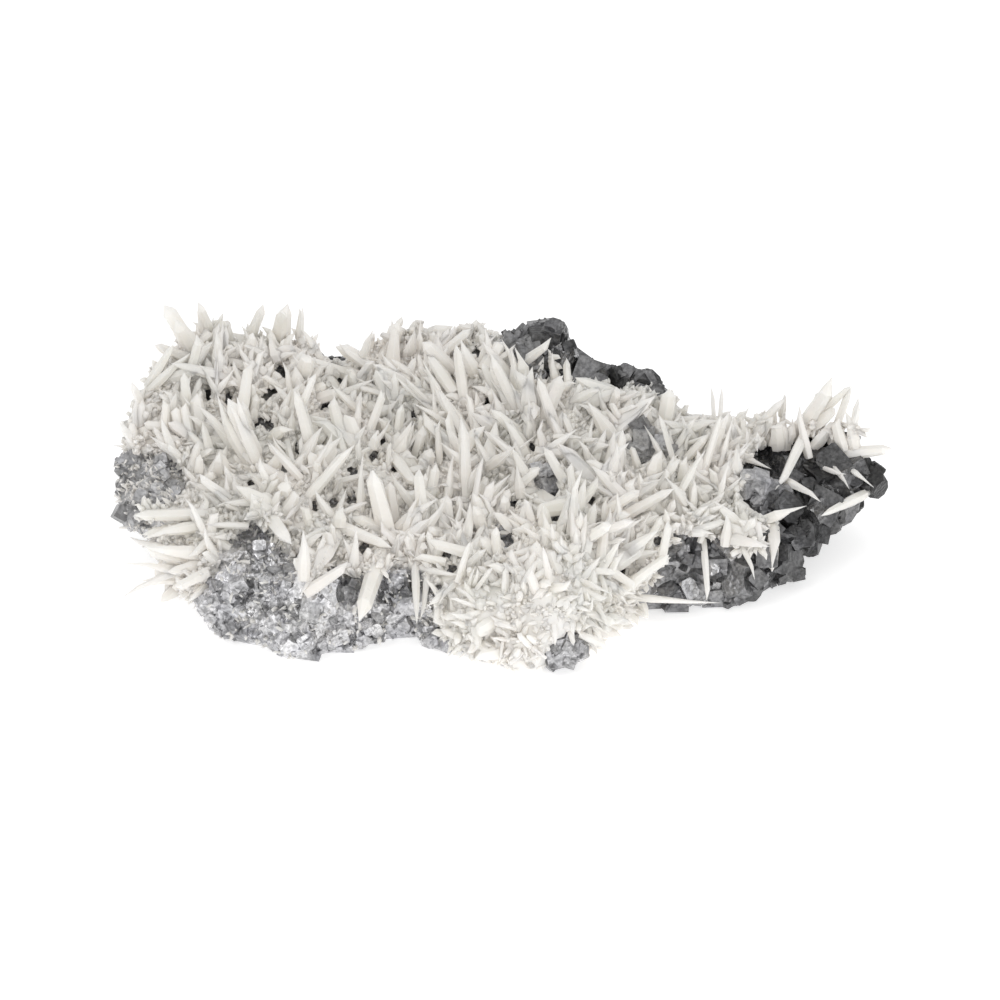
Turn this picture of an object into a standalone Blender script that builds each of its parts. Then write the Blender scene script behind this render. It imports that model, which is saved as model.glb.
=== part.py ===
"""A galena specimen: a plate of lead-grey galena, its top and front grown over by milky quartz needles.

The galena is one solid: a lofted plate with cubic crystals on its bare stretches, its ridge and its
back. The quartz is a crust on that plate, one solid with the crystals that stand on it. A crystal
that stands on the galena alone, touching no other quartz, is a solid of its own.
"""

import math
import random

import bmesh
import bpy
from mathutils import Matrix, Quaternion, Vector
from mathutils.bvhtree import BVHTree

# ---------------------------------------------------------------- driving dimensions, in millimetres
MM = 0.001                  # one millimetre in metres
SHOW_TILT = 30.0            # degrees: the show plane leans back by this much, and faces front and up
FRONT_Y = -37.5             # the front-most edge of the plate, where the show plane meets the ground
CENTRING = (0.0, 0.8, 0.0)  # moves the finished pieces, so that the plate stands over the origin
GAP = 0.3                   # clearance between the quartz and the galena that it sits on
SMALLEST_SOLID = 4.0        # cubic millimetres: a loose chip smaller than this is dropped

CRUST = 1.8                 # thickness of the quartz crust on the plate
CRUST_WAVE = 0.3            # share of it by which the thickness varies
BARE_SINK = 0.7             # where the galena is bare, the crust's outside is sunk below it by this much
CRUST_RIPPLE = (0.9, 0.8)   # radians by which the wave turns per millimetre, along x and along y
CRUST_WRAP = -0.1           # the crust ends where the plate turns away from the show plane by this much
CRUST_OVERHANG = -0.3       # and where it faces down by this much
CRUST_FOOT = 1.0            # lowest point of the plate that the crust reaches
QUARTZ_FOOT = 0.5           # nothing of the quartz comes lower than this

ROOT = 1.6                  # length of a crystal that is buried in the crust
TIP_SHARE = 0.2             # share of a crystal's length that its point takes
WAIST_SHARE = 0.8           # a crystal's width where the point begins, against its width at the root
TIP_OFFSET = 0.15           # how far the point lies from the axis, against the width at the root
CRYSTAL_SIDES = 6
SPIN_STEP = 0.7             # radians by which each crystal is turned about its axis against the one before
SLIDE = 0.5                 # step by which a root that misses the galena is moved along the show plane
SLIDES = 40                 # the most steps that it is moved
LEAN_OUT = 0.45             # a crystal rises from the show plane by this share of its length on it
MOST_RISE = 0.8             # and by up to this share more, where the plate rises in front of its root

NEEDLE_SIDES = 4
NEEDLE_TRIES = 4000
NEEDLE_SPACING = 6.2        # distance between the smaller needles
NEEDLE_SCATTER = (0.38, 0.38, 0.2)  # how far each strays from the way it grows, along x, y and z
NEEDLE_LENGTHS = (4.5, 8.5)
NEEDLE_WIDTHS = (1.3, 2.2)
NEEDLE_REACH = (62, 3, 58)  # they stand this far to either side, and between these heights of the show plane
NEEDLE_FOOT = 5.0           # and on nothing lower than this
RIM = 51.0                  # above this, on the show plane, they are short
LOW = 12.0                  # and so are those that stand lower than this
SHORT_SHARE = 0.6           # this is how short, against the others
FAN = Vector((90, 60, 0.9))  # the way they grow leans out by x over the first and by y over the second
NORMAL_SHARE = 0.45         # and towards the surface's normal by this share

# The body of the plate, from the left end to the right: x, front y, back y, then the height of its
# underside, of the top at the front edge, of the top half way back and of the top at the back edge.
STATIONS = (
    (-64.0, -4.0, 5.0, 11.0, 13.5, 14.5, 14.0),
    (-61.5, -7.5, 12.0, 9.0, 14.5, 17.5, 19.5),
    (-58.5, -10.0, 21.0, 7.0, 14.5, 19.0, 24.5),
    (-53.5, -14.5, 29.0, 3.0, 13.0, 18.5, 25.0),
    (-49.5, -22.5, 31.5, -1.0, 11.5, 17.5, 25.0),
    (-45.5, -27.5, 31.5, -1.0, 11.0, 17.5, 25.0),
    (-40.0, -31.0, 31.0, -1.0, 11.0, 17.0, 25.2),
    (-35.0, -34.0, 30.5, -1.0, 11.0, 17.0, 24.0),
    (-30.5, -33.5, 30.0, -1.0, 11.5, 16.5, 20.8),
    (-25.5, -31.5, 30.0, -1.0, 11.0, 16.0, 21.0),
    (-20.0, -28.0, 31.0, -1.0, 10.5, 15.5, 24.0),
    (-14.5, -28.0, 31.5, -1.0, 10.5, 15.0, 25.0),
    (-9.0, -30.5, 32.0, -1.0, 10.5, 15.5, 25.5),
    (-4.0, -35.0, 32.0, -1.0, 11.0, 16.0, 26.0),
    (1.0, -36.5, 31.5, -1.0, 11.5, 16.5, 26.0),
    (6.0, -37.0, 31.0, -1.0, 11.5, 17.0, 27.5),
    (10.5, -36.0, 29.5, -1.0, 11.5, 17.0, 27.0),
    (14.5, -30.5, 27.5, -1.0, 11.5, 17.0, 23.5),
    (19.0, -22.0, 25.5, -1.0, 12.0, 17.0, 22.0),
    (24.0, -19.5, 23.5, -1.0, 12.5, 16.5, 20.5),
    (29.0, -17.5, 18.0, -1.0, 12.5, 15.5, 17.0),
    (34.5, -16.5, 15.5, -1.0, 12.0, 15.0, 14.5),
    (40.0, -16.0, 15.0, -1.0, 11.0, 15.0, 14.5),
    (44.5, -12.5, 15.0, 0.5, 11.0, 15.0, 14.5),
    (49.0, -7.0, 14.0, 2.5, 12.0, 15.0, 14.5),
    (54.0, -3.5, 12.5, 5.5, 12.5, 15.5, 14.5),
    (59.5, 2.0, 10.5, 8.5, 13.5, 15.5, 14.5),
    (63.0, 4.5, 8.5, 10.5, 12.5, 14.0, 13.5),
)
TOP_POINTS = 10            # points of each station's outline between its front and its back edge
EDGE_INSET = 3.0           # the top edges stand back from the sides by this much
WAIST = 0.3                # share of the sides' height at which they stand out the furthest
SHOULDER = 0.72            # share of it at which they turn in towards the top
SHOULDER_INSET = 0.3       # and how far in they are there, as a share of the inset
BULGE = 1.2                # the sides stand out by this much above the underside
ROUGHNESS = 1.3            # how far each point of the body strays from its station
STRAY_SHARE = 0.2          # and at the narrow ends, the share of the distance between points

# Bare stretches, as ellipses on the show plane: across, up, half width, half height.
BARE = {
    "front_left": (-35, 6, 16, 13),
    "front_notch": (-15, 7, 6, 8),
    "nose_foot": (11, 2.5, 4.5, 4),
    "ridge": (9.5, 54, 8.5, 6),
    "ridge_right": (23, 50, 4.5, 3.5),
    "nub": (-61, 28, 7, 7),
    "arm_front": (36, 15, 12, 7),
    "arm_side": (51, 22, 8, 7),
    "arm_end": (63, 27, 5, 7),
    "arm_top": (50.5, 31.5, 5, 3.5),
}
# Galena crystals: the ellipses on the show plane that they fill, their number and their edge lengths.
CUBE_PATCHES = (
    ("front_left", 30, 2.8, 5.0),
    ("front_notch", 4, 2.5, 4.0),
    ("nose_foot", 3, 3.5, 5.0),
    ("nub", 8, 3.0, 5.0),
    ("arm_front", 14, 2.8, 4.5),
    ("arm_side", 10, 3.5, 5.5),
    ("arm_end", 7, 3.0, 5.0),
)
# The galena crystals of the ridge, on the show plane: across, up, edge length, tilt in degrees.
RIDGE_CUBES = (
    (8.0, 53.9, 6.4, -51), (6.3, 56.4, 4.4, 8), (2.2, 54.6, 4.6, 3), (14.2, 49.3, 5.0, -20),
    (5.0, 51.0, 4.0, 30), (18.3, 48.0, 4.2, -12), (22.3, 48.1, 4.3, -27), (26.5, 45.0, 4.0, -40),
)
RIDGE_LEAN = 14            # degrees by which they lean forward or back, at most
SUNK = 0.15                # share of its edge by which the middle of a galena crystal lies below the surface
RIDGE_SUNK = 0.35          # and the same for the crystals of the ridge
TRUNCATED_SHARE = 0.3      # share of the galena crystals whose corners are cut off
CORNER_CUT = 0.26          # how far from the corner they are cut, against the edge
BACK_CUBES = 22            # galena crystals on the broken back and ends
BACK_CUBE_EDGES = (4.0, 7.5)
BACK_REACH = (-58, 62)     # they stand between these places across
BACK_HEIGHTS = (6, 20)     # and between these heights

# The large crystals, on the show plane: across and up of the root, across and up of the tip, width.
CRYSTALS = {
    "left_rim": (
        (-53.4, 54.8, -57.9, 61.5, 3.4), (-51.4, 56.2, -51.9, 61.7, 1.8), (-50.4, 57.5, -47.9, 60.0, 1.0),
        (-44.3, 54.8, -40.9, 61.5, 2.2), (-38.1, 55.7, -37.3, 61.7, 2.9), (-35.1, 56.2, -34.6, 61.0, 1.4),
        (-34.3, 54.8, -31.8, 56.7, 1.0), (-55.1, 52.0, -59.4, 54.5, 2.0), (-58.1, 47.7, -61.9, 48.5, 1.2),
        (-50.4, 25.2, -61.4, 25.5, 2.4), (-49.6, 24.3, -59.9, 22.2, 2.0), (-51.3, 18.0, -59.4, 20.2, 3.0),
    ),
    "left": (
        (-41.1, 34.0, -45.9, 45.2, 3.6), (-42.4, 38.0, -44.1, 44.7, 2.0), (-31.8, 35.3, -34.8, 46.3, 2.3),
        (-36.6, 39.2, -34.4, 31.3, 1.8), (-24.9, 40.0, -24.3, 46.3, 1.4), (-22.8, 39.2, -20.3, 46.3, 1.7),
        (-19.4, 22.2, -21.8, 32.8, 3.6), (-32.6, 28.2, -25.6, 36.7, 2.0), (-32.6, 28.2, -36.6, 23.8, 1.4),
        (-27.9, 25.2, -22.8, 27.7, 1.3), (-29.1, 30.7, -22.9, 32.2, 1.2), (-35.6, 21.3, -42.1, 29.0, 3.2),
        (-27.9, 22.2, -34.4, 9.8, 3.4), (-19.8, 21.8, -23.6, 9.0, 4.0), (-27.9, 23.8, -18.6, 20.0, 2.4),
    ),
    "middle": (
        (-6.3, 27.7, -6.9, 41.7, 2.3), (-6.6, 44.3, -8.1, 54.3, 2.0), (-13.6, 39.2, -13.4, 43.7, 1.2),
        (-15.1, 45.3, -8.8, 45.0, 1.5), (-19.8, 53.2, -18.1, 58.5, 3.2), (-14.3, 55.3, -14.3, 58.8, 1.1),
        (-23.6, 52.3, -22.4, 56.7, 1.5), (-21.1, 49.8, -28.6, 54.5, 3.0), (-27.9, 45.5, -26.6, 50.2, 1.5),
        (2.1, 50.7, 7.9, 54.5, 2.5), (8.9, 47.7, 7.6, 52.7, 1.4), (10.9, 46.0, 10.4, 52.0, 1.7),
        (0.8, 52.3, -0.6, 54.5, 1.4), (2.1, 42.7, -2.4, 52.0, 3.0), (8.4, 40.8, 5.6, 48.5, 2.0),
        (10.1, 37.0, 6.8, 43.8, 2.0), (13.3, 40.8, 11.4, 43.5, 1.0), (3.3, 34.0, -3.4, 39.7, 1.7),
        (3.8, 34.0, 7.1, 36.2, 1.5), (1.3, 29.3, 5.9, 33.2, 3.0), (11.8, 26.3, 15.6, 31.5, 1.4),
        (13.9, 23.0, 14.8, 27.3, 2.0), (21.3, 27.3, 20.6, 31.2, 2.3), (19.9, 24.7, 25.4, 27.7, 2.6),
        (27.1, 40.8, 27.9, 46.7, 3.4), (17.8, 46.8, 17.8, 50.2, 1.2), (19.1, 46.8, 22.9, 48.5, 1.0),
        (24.1, 46.8, 27.1, 47.7, 1.0),
    ),
    "front": (
        (-14.8, 18.0, -14.1, 7.7, 1.3), (-12.6, 16.2, -13.3, 8.2, 1.3), (-14.3, 16.8, -7.4, 15.5, 1.0),
        (2.1, 18.3, 0.4, 22.2, 2.3), (-3.4, 18.3, -3.4, 22.2, 2.0), (-11.6, 17.5, -9.8, 22.5, 1.7),
        (11.4, 16.7, 18.6, 16.2, 1.5), (18.6, 12.8, 27.1, 18.8, 1.9), (21.3, 12.0, 35.6, 10.8, 1.5),
        (20.3, 10.3, 23.6, 9.3, 1.0),
    ),
    "arm": (
        (35.8, 44.3, 35.1, 47.3, 0.9), (36.1, 44.3, 36.9, 47.3, 0.9), (36.6, 42.7, 33.3, 42.7, 1.7),
        (46.9, 43.0, 47.3, 46.0, 1.4), (39.6, 43.5, 47.6, 45.5, 1.7), (50.3, 40.5, 54.8, 47.7, 3.8),
        (54.4, 43.8, 58.4, 47.3, 1.6), (58.3, 38.3, 59.4, 45.2, 1.6), (56.6, 35.3, 65.3, 36.5, 2.6),
        (50.9, 40.0, 45.6, 29.7, 1.6), (46.9, 31.2, 52.4, 28.3, 1.9), (42.6, 24.3, 49.8, 27.3, 1.8),
        (60.1, 29.0, 51.9, 25.2, 1.6), (57.9, 33.2, 61.9, 30.2, 1.0), (55.8, 32.8, 57.9, 29.8, 1.0),
        (35.8, 21.7, 43.1, 20.5, 2.8), (44.6, 23.8, 44.3, 16.2, 2.6), (38.4, 22.3, 41.8, 14.5, 1.2),
        (32.2, 22.0, 33.4, 11.5, 1.5), (31.6, 35.3, 27.8, 37.3, 1.1), (35.4, 33.7, 34.9, 37.0, 1.5),
        (32.8, 32.3, 32.4, 36.2, 1.6), (24.8, 32.3, 25.6, 36.2, 2.2), (22.4, 34.0, 21.3, 36.7, 1.0),
        (24.8, 28.5, 28.9, 35.0, 1.9), (37.9, 36.7, 44.3, 33.2, 2.8), (36.6, 28.5, 39.6, 31.5, 3.0),
    ),
}

GALENA = ("galena", (0.17, 0.17, 0.18), 0.38, 0.9)      # name, colour, roughness, metallic
QUARTZ = ("milky_quartz", (0.80, 0.78, 0.74), 0.45, 0.0)


# ---------------------------------------------------------------- the show plane
TILT = math.radians(SHOW_TILT)
ACROSS = Vector((1, 0, 0))
UP = Vector((0, math.sin(TILT), math.cos(TILT)))
OUT = Vector((0, -math.cos(TILT), math.sin(TILT)))
FAR = 200.0


def show_point(across, up, out=0.0):
    """The point, in millimetres, that lies across, up and out from where the show plane meets the ground."""
    return Vector((0, FRONT_Y, 0)) + ACROSS * across + UP * up + OUT * out


def on_show_plane(point):
    """Across and up of a point."""
    from_foot = point - Vector((0, FRONT_Y, 0))
    return from_foot.dot(ACROSS), from_foot.dot(UP)


def is_bare(across, up):
    """Whether galena shows at this place of the show plane."""
    for middle, height, half_width, half_height in BARE.values():
        if ((across - middle) / half_width) ** 2 + ((up - height) / half_height) ** 2 < 1:
            return True
    return False


# ---------------------------------------------------------------- objects and Booleans
def collection_named(name):
    made = bpy.data.collections.new(name)
    bpy.context.scene.collection.children.link(made)
    return made


def add_object(name, bm, collection):
    """Makes an object of a bmesh that is in millimetres."""
    mesh = bpy.data.meshes.new(name)
    bmesh.ops.scale(bm, vec=(MM, MM, MM), verts=bm.verts)
    bm.to_mesh(mesh)
    bm.free()
    made = bpy.data.objects.new(name, mesh)
    collection.objects.link(made)
    return made


def apply_modifiers(obj):
    graph = bpy.context.evaluated_depsgraph_get()
    mesh = bpy.data.meshes.new_from_object(obj.evaluated_get(graph))
    obj.modifiers.clear()
    obj.data = mesh


def combine(obj, collection, operation):
    """Joins or cuts obj with every object of the collection, which is then removed."""
    modifier = obj.modifiers.new(operation.lower(), "BOOLEAN")
    modifier.operation = operation
    modifier.operand_type = "COLLECTION"
    modifier.collection = collection
    modifier.solver = "EXACT"
    apply_modifiers(obj)
    for used in list(collection.objects):
        bpy.data.objects.remove(used)
    bpy.data.collections.remove(collection)


def cut_at(obj, height):
    """Cuts off what lies below this height."""
    ground = collection_named("ground")
    bm = bmesh.new()
    bmesh.ops.create_cube(bm, size=FAR)
    bmesh.ops.translate(bm, vec=(0, 0, height - FAR / 2), verts=bm.verts)
    add_object("below", bm, ground)
    combine(obj, ground, "DIFFERENCE")


def material(name, colour, roughness, metallic):
    made = bpy.data.materials.new(name)
    made.use_nodes = True
    shader = made.node_tree.nodes["Principled BSDF"]
    shader.inputs["Base Color"].default_value = (*colour, 1.0)
    shader.inputs["Roughness"].default_value = roughness
    shader.inputs["Metallic"].default_value = metallic
    return made


def volume_of(obj):
    bm = bmesh.new()
    bm.from_mesh(obj.data)
    volume = bm.calc_volume(signed=True) / MM ** 3
    bm.free()
    return volume


def loose_pieces(obj):
    """Parts obj into its loose pieces, largest first. Chips and the walls of sealed hollows are dropped."""
    bpy.ops.object.select_all(action="DESELECT")
    bpy.context.view_layer.objects.active = obj
    obj.select_set(True)
    bpy.ops.mesh.separate(type="LOOSE")
    kept = []
    for piece in list(bpy.context.selected_objects):
        if volume_of(piece) < SMALLEST_SOLID:
            bpy.data.objects.remove(piece)
        else:
            kept.append(piece)
    return sorted(kept, key=volume_of, reverse=True)


# ---------------------------------------------------------------- galena
def station_outline(station):
    """The plate's outline at a station, as y and z, from the underside's front over the top to its back."""
    _, front, back, under, front_top, middle_top, back_top = station
    depth = back - front
    inset = min(EDGE_INSET, depth / 4)
    outline = [
        (front + BULGE, under),
        (front, under + WAIST * (front_top - under)),
        (front + SHOULDER_INSET * inset, under + SHOULDER * (front_top - under)),
    ]
    for number in range(TOP_POINTS):
        share = number / (TOP_POINTS - 1)
        y = front + inset + share * (depth - 2 * inset)
        if share < 0.5:
            z = front_top + 2 * share * (middle_top - front_top)
        else:
            z = middle_top + (2 * share - 1) * (back_top - middle_top)
        outline.append((y, z))
    outline += [
        (back - SHOULDER_INSET * inset, under + SHOULDER * (back_top - under)),
        (back, under + WAIST * (back_top - under)),
        (back - BULGE, under),
    ]
    return outline


def body_bmesh(distance):
    """The plate, lofted through its stations, with each point a little astray, then moved out by distance().

    The points move along the normals of the plain loft, so that neighbours never cross.
    """
    chance = random.Random(3)
    bm = bmesh.new()
    rings = []
    strays = []
    for station in STATIONS:
        outline = station_outline(station)
        depth = station[2] - station[1]
        rough = min(ROUGHNESS, STRAY_SHARE * depth / TOP_POINTS)
        ring = []
        for number, (y, z) in enumerate(outline):
            stray = Vector([chance.uniform(-rough, rough) for _ in range(3)])
            if number in (0, len(outline) - 1):
                stray.z = 0
            ring.append(bm.verts.new((station[0], y, z)))
            strays.append(stray)
        rings.append([bm.edges.new((ring[i - 1], ring[i])) for i in range(len(ring))])
    for near, far in zip(rings, rings[1:]):
        bmesh.ops.bridge_loops(bm, edges=near + far)
    for end in (rings[0], rings[-1]):
        bmesh.ops.contextual_create(bm, geom=end)
    bmesh.ops.triangulate(bm, faces=bm.faces)
    bm.normal_update()
    bmesh.ops.recalc_face_normals(bm, faces=bm.faces)
    if bm.calc_volume(signed=True) < 0:
        bmesh.ops.reverse_faces(bm, faces=bm.faces)
    bm.normal_update()
    for vert, stray in zip(bm.verts, strays):
        normal = vert.normal.copy()
        vert.co += stray
        vert.co += normal * distance(vert.co, normal)
    return bm


def add_cube(name, collection, middle, edge, turn, truncated, grow=0.0):
    """A galena crystal: a cube, or a cube with its corners cut off."""
    bm = bmesh.new()
    bmesh.ops.create_cube(bm, size=edge + 2 * grow)
    if truncated:
        corners = bm.verts[:]
        bmesh.ops.bevel(bm, geom=corners, offset=edge * CORNER_CUT, segments=1, affect="VERTICES")
    bmesh.ops.transform(bm, matrix=Matrix.Translation(middle) @ turn, verts=bm.verts)
    return add_object(name, bm, collection)


def random_turn(chance):
    axis = Vector((chance.gauss(0, 1), chance.gauss(0, 1), chance.gauss(0, 1))).normalized()
    return Quaternion(axis, chance.uniform(0, math.pi)).to_matrix().to_4x4()


def cubes_in_patches(body_tree, chance):
    """Middle, edge, turn and shape of each galena crystal on the bare stretches that face the show plane."""
    placed = []
    for patch, count, shortest, longest in CUBE_PATCHES:
        across0, up0, half_width, half_height = BARE[patch]
        for _ in range(count):
            angle = chance.uniform(0, 2 * math.pi)
            reach = math.sqrt(chance.random())
            edge = chance.uniform(shortest, longest)
            turn = random_turn(chance)
            truncated = chance.random() < TRUNCATED_SHARE
            start = show_point(
                across0 + reach * half_width * math.cos(angle),
                up0 + reach * half_height * math.sin(angle),
                FAR,
            )
            hit = body_tree.ray_cast(start * MM, -OUT)[0]
            if hit is not None:
                placed.append((hit / MM - OUT * edge * SUNK, edge, turn, truncated))
    return placed


def cubes_on_ridge(body_tree, chance):
    """The same for the larger crystals of the ridge, whose places and tilts are set."""
    facing = Matrix((ACROSS, UP, OUT)).transposed().to_4x4()
    placed = []
    for across, up, edge, tilt in RIDGE_CUBES:
        lean = chance.uniform(-RIDGE_LEAN, RIDGE_LEAN)
        tilted = Matrix.Rotation(math.radians(tilt), 4, "Z")
        leaning = Matrix.Rotation(math.radians(lean), 4, "X")
        hit = body_tree.ray_cast(show_point(across, up - edge / 2, FAR) * MM, -OUT)[0]
        if hit is not None:
            out = OUT.dot(hit / MM - show_point(0, 0))
            middle = show_point(across, up, out - edge * RIDGE_SUNK)
            placed.append((middle, edge, facing @ tilted @ leaning, False))
    return placed


def cubes_behind(body_tree, chance):
    """The same for the back and the two ends, which the show plane faces away from."""
    placed = []
    for _ in range(BACK_CUBES):
        along = chance.uniform(*BACK_REACH)
        height = chance.uniform(*BACK_HEIGHTS)
        edge = chance.uniform(*BACK_CUBE_EDGES)
        turn = random_turn(chance)
        truncated = chance.random() < TRUNCATED_SHARE
        start = Vector((along, FAR, height))
        hit = body_tree.ray_cast(start * MM, Vector((0, -1, 0)))[0]
        if hit is not None:
            placed.append((hit / MM, edge, turn, truncated))
    return placed


def joined_galena(name, collection, cubes, grow=0.0):
    """The body and every galena crystal in one solid, cut off flat where it stands on the ground."""
    pieces = collection_named("pieces")
    whole = add_object(name, body_bmesh(lambda point, normal: grow), collection)
    for number, (middle, edge, turn, truncated) in enumerate(cubes):
        add_cube(f"cube_{number}", pieces, middle, edge, turn, truncated, grow)
    combine(whole, pieces, "UNION")
    if grow == 0.0:
        cut_at(whole, 0.0)
    return whole


def tree_of(obj):
    bm = bmesh.new()
    bm.from_mesh(obj.data)
    tree = BVHTree.FromBMesh(bm)
    bm.free()
    return tree


# ---------------------------------------------------------------- quartz
def crystal_bmesh(length, width, sides, spin):
    """A tapered prism with a point, its root at the origin, standing along +Z."""
    bm = bmesh.new()
    shaft = length * (1 - TIP_SHARE)
    bmesh.ops.create_cone(
        bm, cap_ends=True, segments=sides,
        radius1=width / 2, radius2=width / 2 * WAIST_SHARE, depth=shaft + ROOT,
    )
    bmesh.ops.translate(bm, vec=(0, 0, (shaft - ROOT) / 2), verts=bm.verts)
    top = max(bm.faces, key=lambda face: face.calc_center_median().z)
    made = bmesh.ops.poke(bm, faces=[top])
    made["verts"][0].co = (TIP_OFFSET * width, 0, length)
    bmesh.ops.rotate(bm, matrix=Matrix.Rotation(spin, 3, "Z"), verts=bm.verts)
    return bm


def stand(bm, root, direction):
    turn = direction.to_track_quat("Z", "Y").to_matrix().to_4x4()
    bmesh.ops.transform(bm, matrix=Matrix.Translation(root) @ turn, verts=bm.verts)


def root_on(tree, across, up):
    """The point of the body behind this place of the show plane, or the nearest place above or below it."""
    for step in range(SLIDES):
        for side in (-1, 1):
            start = show_point(across, up + side * step * SLIDE, FAR)
            hit = tree.ray_cast(start * MM, -OUT)[0]
            if hit is not None:
                return hit / MM
    return None


def add_large_crystals(tree, collection):
    """The large crystals of the table, each on the galena behind its root. Returns their roots."""
    roots = []
    for area, rows in CRYSTALS.items():
        for number, (across, up, tip_across, tip_up, width) in enumerate(rows):
            root = root_on(tree, across, up)
            seen = math.hypot(tip_across - across, tip_up - up)
            out = OUT.dot(root - show_point(0, 0))
            behind_tip = tree.ray_cast(show_point(tip_across, tip_up, FAR) * MM, -OUT)[0]
            if behind_tip is not None:
                out = max(out, min(OUT.dot(behind_tip / MM - show_point(0, 0)), out + seen * MOST_RISE))
            tip = show_point(tip_across, tip_up, out + seen * LEAN_OUT)
            along = tip - root
            bm = crystal_bmesh(along.length, width, CRYSTAL_SIDES, number * SPIN_STEP)
            stand(bm, root, along.normalized())
            add_object(f"{area}_{number}", bm, collection)
            roots.append(root)
    return roots


def outward(point):
    """The way a needle grows from this place: up, and away from the middle of the plate."""
    return Vector((point.x / FAN.x, point.y / FAN.y, FAN.z)).normalized()


def add_needles(tree, taken, collection, chance):
    """Smaller needles between the large crystals, evenly spread over the crust."""
    side, lowest, highest = NEEDLE_REACH
    count = 0
    for _ in range(NEEDLE_TRIES):
        across = chance.uniform(-side, side)
        up = chance.uniform(lowest, highest)
        length = chance.uniform(*NEEDLE_LENGTHS)
        width = chance.uniform(*NEEDLE_WIDTHS)
        scatter = Vector([chance.gauss(0, spread) for spread in NEEDLE_SCATTER])
        spin = chance.uniform(0, math.pi)
        hit, normal, _, _ = tree.ray_cast(show_point(across, up, FAR) * MM, -OUT)
        if hit is None or is_bare(across, up):
            continue
        root = hit / MM
        if up > RIM or root.z < LOW:
            length *= SHORT_SHARE
        if root.z < NEEDLE_FOOT or any((root - other).length < NEEDLE_SPACING for other in taken):
            continue
        direction = (outward(root) + NORMAL_SHARE * normal + scatter).normalized()
        bm = crystal_bmesh(length, width, NEEDLE_SIDES, spin)
        stand(bm, root, direction)
        add_object(f"needle_{count}", bm, collection)
        taken.append(root)
        count += 1


def crust_depth(point, normal):
    """How far the crust's outside stands off the body, or how far it is sunk where the galena is bare."""
    across, up = on_show_plane(point)
    turned_away = normal.dot(OUT) < CRUST_WRAP or normal.z < CRUST_OVERHANG
    if turned_away or point.z < CRUST_FOOT or is_bare(across, up):
        return -BARE_SINK
    ripple = math.sin(point.x * CRUST_RIPPLE[0]) * math.cos(point.y * CRUST_RIPPLE[1])
    return CRUST * (1 + CRUST_WAVE * ripple)


def build_quartz(tree, cubes, collection):
    """The crust with every crystal on it, before it is parted into its separate pieces."""
    crust = add_object("quartz_whole", body_bmesh(crust_depth), collection)
    crystals = collection_named("crystals")
    taken = add_large_crystals(tree, crystals)
    add_needles(tree, taken, crystals, random.Random(11))
    combine(crust, crystals, "UNION")
    seat = collection_named("seat")
    joined_galena("galena_seat", seat, cubes, GAP)
    combine(crust, seat, "DIFFERENCE")
    cut_at(crust, QUARTZ_FOOT)
    return crust


def main():
    for old in list(bpy.data.objects):
        bpy.data.objects.remove(old)
    specimen = collection_named("galena_specimen")

    body = add_object("body", body_bmesh(lambda point, normal: 0.0), specimen)
    body_tree = tree_of(body)
    cubes = cubes_in_patches(body_tree, random.Random(5))
    cubes += cubes_on_ridge(body_tree, random.Random(6))
    cubes += cubes_behind(body_tree, random.Random(7))
    bpy.data.objects.remove(body)

    galena = loose_pieces(joined_galena("galena_matrix", specimen, cubes))[0]
    galena.name = "galena_matrix"
    galena.data.materials.clear()
    galena.data.materials.append(material(*GALENA))

    quartz_material = material(*QUARTZ)
    quartz = build_quartz(body_tree, cubes, specimen)
    for number, piece in enumerate(loose_pieces(quartz)):
        piece.name = "quartz_crust" if number == 0 else f"quartz_spray_{number:02d}"
        piece.data.materials.clear()
        piece.data.materials.append(quartz_material)
    for made in specimen.objects:
        made.data.transform(Matrix.Translation(Vector(CENTRING) * MM))


main()
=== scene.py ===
"""Looks of the galena specimen: a slab of lead-grey galena under a bristling crust of milky quartz needles.

The two loose sprays stay as they are. The crust and the slab are replaced by copies with their hollows cut
out. On them stand the pieces that are too small for the solids: the fine needles and the druse of the
crust, and the small galena crystals of the bare stretches. Sizes are in millimetres until a mesh is made.
"""

import math

import bpy
import numpy as np
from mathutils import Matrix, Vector
from mathutils.bvhtree import BVHTree


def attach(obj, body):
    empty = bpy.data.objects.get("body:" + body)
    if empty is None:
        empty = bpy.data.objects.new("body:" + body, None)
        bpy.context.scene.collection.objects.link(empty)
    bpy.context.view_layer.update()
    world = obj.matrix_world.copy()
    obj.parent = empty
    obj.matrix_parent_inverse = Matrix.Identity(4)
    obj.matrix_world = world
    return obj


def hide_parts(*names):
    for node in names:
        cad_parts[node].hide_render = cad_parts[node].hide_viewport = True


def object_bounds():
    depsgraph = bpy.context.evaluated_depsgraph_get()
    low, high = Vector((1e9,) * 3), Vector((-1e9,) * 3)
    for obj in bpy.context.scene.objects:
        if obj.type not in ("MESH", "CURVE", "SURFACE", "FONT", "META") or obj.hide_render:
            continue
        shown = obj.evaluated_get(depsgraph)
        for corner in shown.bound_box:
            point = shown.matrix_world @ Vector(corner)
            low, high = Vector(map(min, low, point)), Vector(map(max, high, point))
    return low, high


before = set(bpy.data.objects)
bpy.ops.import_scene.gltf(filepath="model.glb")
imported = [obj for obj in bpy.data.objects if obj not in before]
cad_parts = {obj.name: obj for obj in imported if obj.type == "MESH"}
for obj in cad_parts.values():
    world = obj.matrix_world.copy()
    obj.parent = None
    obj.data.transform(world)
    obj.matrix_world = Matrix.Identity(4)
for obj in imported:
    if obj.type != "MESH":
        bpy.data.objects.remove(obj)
cad_low, cad_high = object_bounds()

MM = 0.001
SEED = 20

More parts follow.
